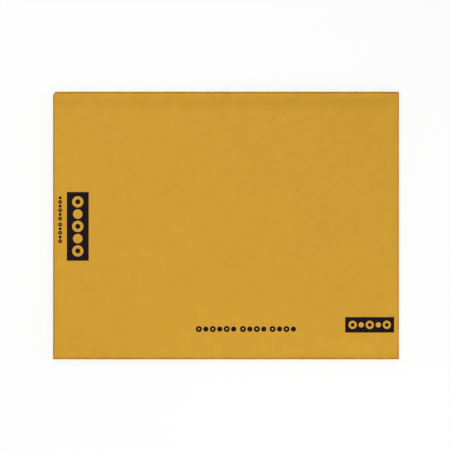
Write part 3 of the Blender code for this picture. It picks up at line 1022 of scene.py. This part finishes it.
def light_the_world(sky):
    """An even light from all round, which shows as plain white to the camera."""
    world = bpy.data.worlds.new("studio")
    world.use_nodes = True
    tree = world.node_tree
    tree.nodes.clear()
    strength = add(tree, MIX, {0: seen_directly(tree), 2: sky, 3: 1.0})
    light = add(tree, "ShaderNodeBackground", {"Color": WHITE, "Strength": strength})
    add(tree, "ShaderNodeOutputWorld", {"Surface": light}, output=None)
    bpy.context.scene.world = world


FLOOR_SIZE = 12.0
# The floor lies a hair below the envelope, so that their faces never meet.
FLOOR_DROP = 0.02 * MM
# Where each lamp stands, and how wide it is.
LAMPS = {
    "key": ((0.172, -0.408, 0.354), 0.25),
    "fill": ((-0.254, 0.192, 0.479), 0.25),
    "flap": ((1.403, 0.15, 0.364), 0.4),
    "near": ((0.0, -1.4, 0.36), 0.4),
    "end": ((-1.4, 0.0, 0.36), 0.4),
    "top": ((0.0, 0.0, 0.5), 0.12),
}


def build_stage():
    """Makes the floor, the lamps, the world and the camera."""
    mailer = bpy.context.scene.mailer
    floor = bpy.data.meshes.new("floor")
    shape = bmesh.new()
    bmesh.ops.create_grid(shape, x_segments=1, y_segments=1, size=FLOOR_SIZE / 2)
    bmesh.ops.translate(shape, vec=(0.0, 0.0, -FLOOR_DROP), verts=shape.verts)
    shape.to_mesh(floor)
    shape.free()
    floor.materials.append(white_floor("matt_white_board", mailer.colours))
    link_piece("floor", floor)
    stage = mailer.stage
    for name, (place, size) in LAMPS.items():
        soft_lamp(name + "_lamp", place, size, getattr(stage, name + "_power"))
    light_the_world(stage.sky)
    camera = bpy.data.cameras.new("camera")
    camera.sensor_width = SENSOR_WIDTH_MM
    camera.lens = SENSOR_WIDTH_MM * stage.camera_height / (PHOTO_SIZE_PX * PIXEL)
    piece = link_piece("camera", camera)
    # The outline's middle is a little right of the photograph's middle and a little below it.
    right = OUTLINE_MIDDLE_PX[0] - PHOTO_SIZE_PX / 2
    down = OUTLINE_MIDDLE_PX[1] - PHOTO_SIZE_PX / 2
    piece.location = (-right * PIXEL, down * PIXEL, MIDDLE_HEIGHT + stage.camera_height)
    bpy.context.scene.camera = piece
    bpy.context.scene.view_settings.view_transform = "Standard"


class MAILER_OT_kraft_cover(bpy.types.Operator):
    """Build the paper cover with its print"""

    bl_idname = "mailer.kraft_cover"
    bl_label = "Kraft Cover"

    def execute(self, context):
        build_kraft_cover()
        return {"FINISHED"}


class MAILER_OT_bubble_lining(bpy.types.Operator):
    """Build the bubble film inside the paper"""

    bl_idname = "mailer.bubble_lining"
    bl_label = "Bubble Lining"

    def execute(self, context):
        build_bubble_lining()
        return {"FINISHED"}


class MAILER_OT_adhesive_strip(bpy.types.Operator):
    """Build the adhesive on the flap"""

    bl_idname = "mailer.adhesive_strip"
    bl_label = "Adhesive Strip"

    def execute(self, context):
        build_adhesive_strip()
        return {"FINISHED"}


class MAILER_OT_release_liner(bpy.types.Operator):
    """Build the release paper over the adhesive"""

    bl_idname = "mailer.release_liner"
    bl_label = "Release Liner"

    def execute(self, context):
        build_release_liner()
        return {"FINISHED"}


class MAILER_OT_stage(bpy.types.Operator):
    """Build the floor, the lamps and the camera"""

    bl_idname = "mailer.stage"
    bl_label = "Stage"

    def execute(self, context):
        build_stage()
        return {"FINISHED"}


OPERATORS = (
    MAILER_OT_stage,
    MAILER_OT_kraft_cover,
    MAILER_OT_bubble_lining,
    MAILER_OT_adhesive_strip,
    MAILER_OT_release_liner,
)


class MAILER_PT_panel(bpy.types.Panel):
    """Lists the mailer's pieces and settings"""

    bl_idname = "MAILER_PT_panel"
    bl_label = "Padded Kraft Mailer"
    bl_space_type = "VIEW_3D"
    bl_region_type = "UI"
    bl_category = "Mailer"

    def draw(self, context):
        layout = self.layout
        for operator in OPERATORS:
            layout.operator(operator.bl_idname)
        mailer = context.scene.mailer
        for group in (mailer.paper, mailer.print_layout, mailer.film, mailer.colours, mailer.stage):
            box = layout.box()
            for name in group.bl_rna.properties.keys():
                if name not in ("rna_type", "name"):
                    box.prop(group, name)


SETTINGS = (MailerPaper, MailerPrint, MailerFilm, MailerColours, MailerStage, MailerSettings)
CLASSES = (*SETTINGS, *OPERATORS, MAILER_PT_panel)


def register():
    """Registers every class and gives the scene its settings."""
    for each in CLASSES:
        bpy.utils.register_class(each)
    bpy.types.Scene.mailer = PointerProperty(type=MailerSettings)


def unregister():
    """Takes it all back."""
    del bpy.types.Scene.mailer
    for each in reversed(CLASSES):
        bpy.utils.unregister_class(each)


def main():
    """Builds the whole scene."""
    register()
    bpy.ops.mailer.stage()
    bpy.ops.mailer.kraft_cover()
    bpy.ops.mailer.bubble_lining()
    bpy.ops.mailer.adhesive_strip()
    bpy.ops.mailer.release_liner()


if __name__ == "__main__":
    main()
